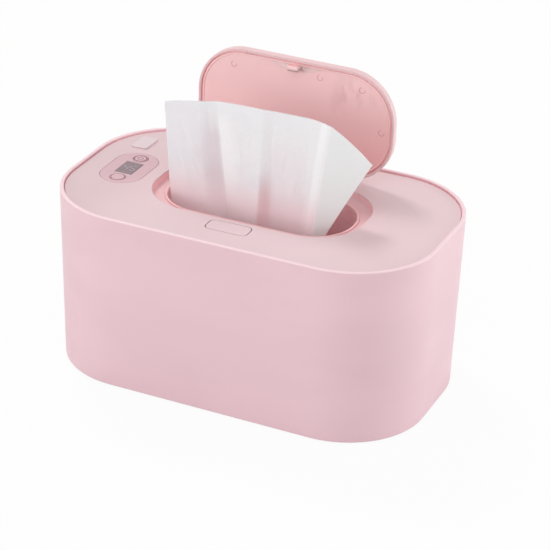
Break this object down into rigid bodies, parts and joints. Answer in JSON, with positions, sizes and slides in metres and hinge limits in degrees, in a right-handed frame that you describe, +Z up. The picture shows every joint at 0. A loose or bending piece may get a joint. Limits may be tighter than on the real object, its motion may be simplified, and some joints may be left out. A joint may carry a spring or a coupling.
{
  "type": "baby wipe warmer",
  "caption": "Tapered round-cornered box that warms wipes in a heated tub, with a lift-off cover, a sprung pop-up flap over an oval opening, a release button and an oval control panel.",
  "frame": {"origin": "on the table under the middle of the casing", "axes": "+X along the length, towards the right seen from the front; -Y towards the front, where the release button is; +Z up"},
  "size_m": [0.2, 0.12, 0.1545],
  "materials": {
    "casing": "satin pale pink",
    "cover": "satin pale pink",
    "tub": "satin pink",
    "oval": "satin pink",
    "flap_inner": "satin salmon pink",
    "tab": "gloss pale pink",
    "window": "gloss smoked",
    "seal": "soft matte pink",
    "foot": "matte grey",
    "dark_plastic": "matte black",
    "steel": "satin",
    "aluminium": "satin",
    "film": "amber film",
    "foam": "soft white foam",
    "board": "green board",
    "flat_cable": "white flat cable",
    "contact_metal": "satin",
    "wipe": "soft white nonwoven"
  },
  "bodies": {
    "base": {"outer_casing": "casing", "base_plate": "casing", "rubber_feet": "foot", "base_screws": "steel", "inner_tub": "tub", "heat_plate": "aluminium", "heating_film": "film", "temperature_sensor": "dark_plastic", "thermal_fuse": "steel", "insulation_pad": "foam", "main_board": "board", "board_components": "dark_plastic", "board_screws": "steel", "power_socket": "dark_plastic", "heater_lead": "film", "contact_ribbon": "flat_cable", "base_contact_block": "dark_plastic", "contact_springs": "contact_metal"},
    "cover": {"top_cover": "cover", "cover_liner": "cover", "cover_gasket": "foam", "cover_screws": "steel", "opening_seal": "seal", "control_panel": "oval", "display_window": "window", "display_module": "dark_plastic", "control_board": "board", "control_screws": "steel", "tactile_switches": "dark_plastic", "cover_contact_strip": "board", "panel_lead": "flat_cable", "lift_tab": "tab", "latch_retainer": "cover", "latch_screws": "steel", "latch_spring": "steel", "hinge_pin": "steel", "hinge_spring": "steel", "wipe_sheet": "wipe"},
    "flap": {"flap_shell": "cover", "flap_liner": "flap_inner"},
    "button": {"release_button": "cover"},
    "latch": {"latch_slider": "cover"},
    "power_switch": {"power_key": "oval"},
    "mode_switch": {"mode_key": "oval"}
  },
  "joints": [
    {"name": "cover_lift", "type": "slide", "parent": "base", "child": "cover", "axis": [0, 0, 1], "range_m": [0, 0.05]},
    {"name": "flap_hinge", "type": "hinge", "parent": "cover", "child": "flap", "pos_m": [0, 0.036, 0.089], "axis": [1, 0, 0], "range_deg": [0, 90], "stiffness_Nm_per_rad": 0.01, "springref_deg": -34.38, "deforming": ["hinge_spring", "wipe_sheet"]},
    {"name": "button_press", "type": "slide", "parent": "cover", "child": "button", "axis": [0, 0, -1], "range_m": [0, 0.0015], "stiffness_N_per_m": 300, "springref_m": -0.001},
    {"name": "latch_slide", "type": "slide", "parent": "cover", "child": "latch", "axis": [0, -1, 0], "range_m": [0, 0.0015], "stiffness_N_per_m": 300, "springref_m": -0.001, "deforming": ["latch_spring"]},
    {"name": "power_press", "type": "slide", "parent": "cover", "child": "power_switch", "axis": [0, 0, -1], "range_m": [0, 0.0004], "stiffness_N_per_m": 1500, "springref_m": -0.0003},
    {"name": "mode_press", "type": "slide", "parent": "cover", "child": "mode_switch", "axis": [0, 0, -1], "range_m": [0, 0.0004], "stiffness_N_per_m": 1500, "springref_m": -0.0003}
  ],
  "couplings": [
    {"joint": "latch_slide", "follows": "button_press", "ratio": 1}
  ]
}
